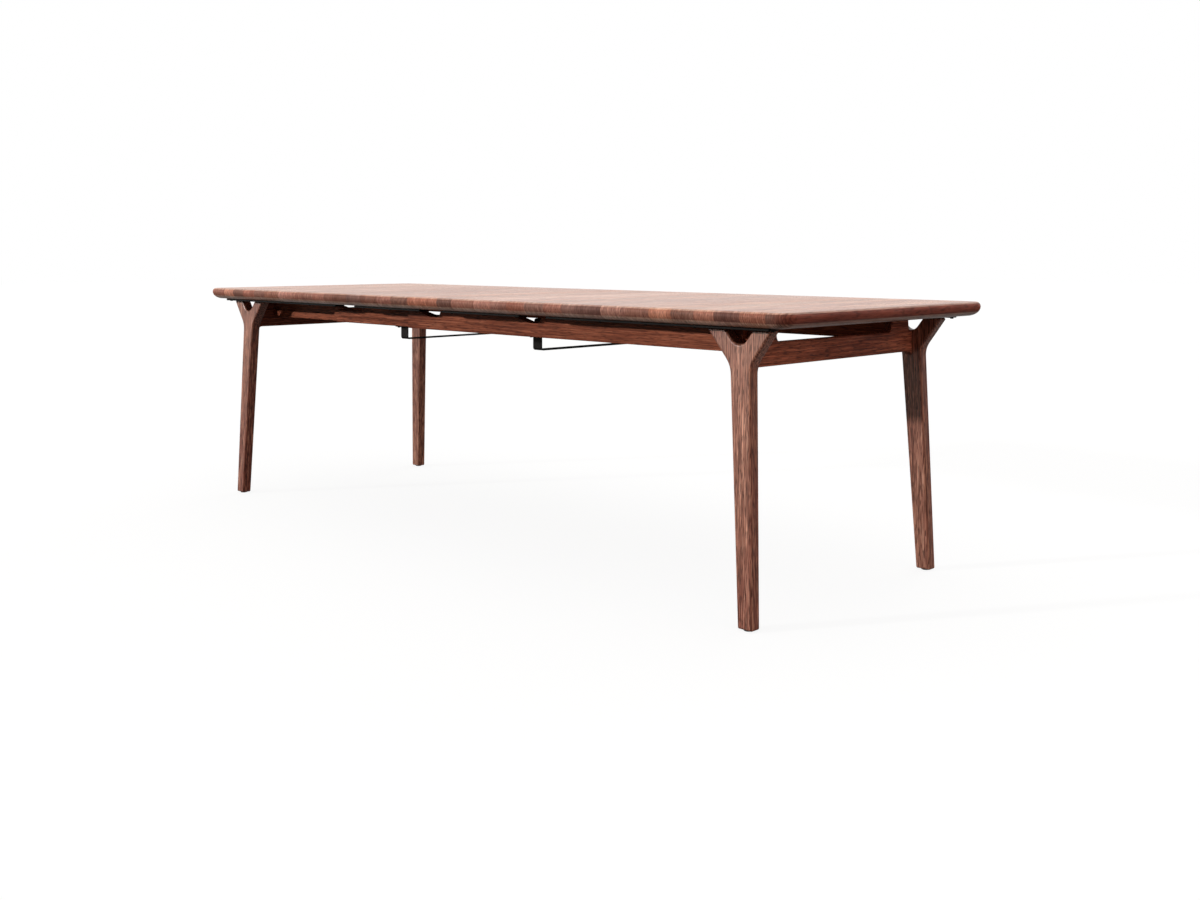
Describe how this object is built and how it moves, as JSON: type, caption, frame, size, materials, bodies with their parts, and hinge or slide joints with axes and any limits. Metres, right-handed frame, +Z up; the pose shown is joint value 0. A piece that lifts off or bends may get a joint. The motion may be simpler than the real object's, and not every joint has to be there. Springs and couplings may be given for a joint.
{
  "type": "extending dining table",
  "caption": "Walnut dining table with forked legs, telescopic wooden slides, two lift-out leaves and steel straps that store them.",
  "frame": {"origin": "on the floor, under the middle of the table as it stands open", "axes": "+X along the table towards its right half, +Y across the table towards the back, +Z up"},
  "size_m": [2.6, 0.9, 0.735],
  "materials": {
    "walnut_top": "oiled walnut, butcher-block staves across the table",
    "walnut_frame": "oiled solid walnut, grain along the piece",
    "walnut_rail": "oiled solid walnut, grain along the rail",
    "black_steel": "black powder-coated flat steel",
    "zinc_steel": "zinc-plated steel",
    "wear_strip": "dark slick plastic strip",
    "black_plastic": "matt black plastic"
  },
  "bodies": {
    "right_half": {"top_half_right": "walnut_top", "crossbar_right": "walnut_frame", "leg_front_right": "walnut_frame", "leg_back_right": "walnut_frame", "leg_glide_front_right": "black_plastic", "leg_glide_back_right": "black_plastic", "outer_rail_front": "walnut_rail", "inner_rail_back": "walnut_rail", "top_bar_front_right": "black_steel", "top_bar_back_right": "black_steel"},
    "left_half": {"top_half_left": "walnut_top", "crossbar_left": "walnut_frame", "leg_front_left": "walnut_frame", "leg_back_left": "walnut_frame", "leg_glide_front_left": "black_plastic", "leg_glide_back_left": "black_plastic", "outer_rail_back": "walnut_rail", "inner_rail_front": "walnut_rail", "top_bar_front_left": "black_steel", "top_bar_back_left": "black_steel"},
    "carriage": {"middle_rail_front": "walnut_rail", "middle_rail_back": "walnut_rail", "leaf_strap_left": "black_steel", "leaf_strap_right": "black_steel", "wear_strip_front_left": "wear_strip", "wear_strip_front_right": "wear_strip", "wear_strip_back_left": "wear_strip", "wear_strip_back_right": "wear_strip", "stop_plate_front_left": "zinc_steel", "stop_plate_back_left": "zinc_steel", "stop_plate_front_right": "zinc_steel", "stop_plate_back_right": "zinc_steel", "stop_screw_front_left": "zinc_steel", "stop_screw_back_left": "zinc_steel", "stop_screw_front_right": "zinc_steel", "stop_screw_back_right": "zinc_steel", "strap_screw_left_front_1": "black_steel", "strap_screw_left_front_2": "black_steel", "strap_screw_left_back_1": "black_steel", "strap_screw_left_back_2": "black_steel", "strap_screw_right_front_1": "black_steel", "strap_screw_right_front_2": "black_steel", "strap_screw_right_back_1": "black_steel", "strap_screw_right_back_2": "black_steel"},
    "leaf_right": {"leaf_right": "walnut_top", "leaf_bar_front_right": "black_steel", "leaf_bar_back_right": "black_steel"},
    "leaf_left": {"leaf_left": "walnut_top", "leaf_bar_front_left": "black_steel", "leaf_bar_back_left": "black_steel"}
  },
  "joints": [
    {"name": "carriage_slide", "type": "slide", "parent": "right_half", "child": "carriage", "axis": [-1, 0, 0], "range_m": [0, 0.04]},
    {"name": "left_half_slide", "type": "slide", "parent": "carriage", "child": "left_half", "axis": [-1, 0, 0], "range_m": [0, 0.04]},
    {"name": "leaf_right_lift", "type": "slide", "parent": "carriage", "child": "leaf_right", "axis": [0, 0, 1], "range_m": [0, 0.25]},
    {"name": "leaf_left_lift", "type": "slide", "parent": "carriage", "child": "leaf_left", "axis": [0, 0, 1], "range_m": [0, 0.25]}
  ],
  "couplings": [
    {"joint": "carriage_slide", "follows": "left_half_slide", "ratio": 1}
  ]
}
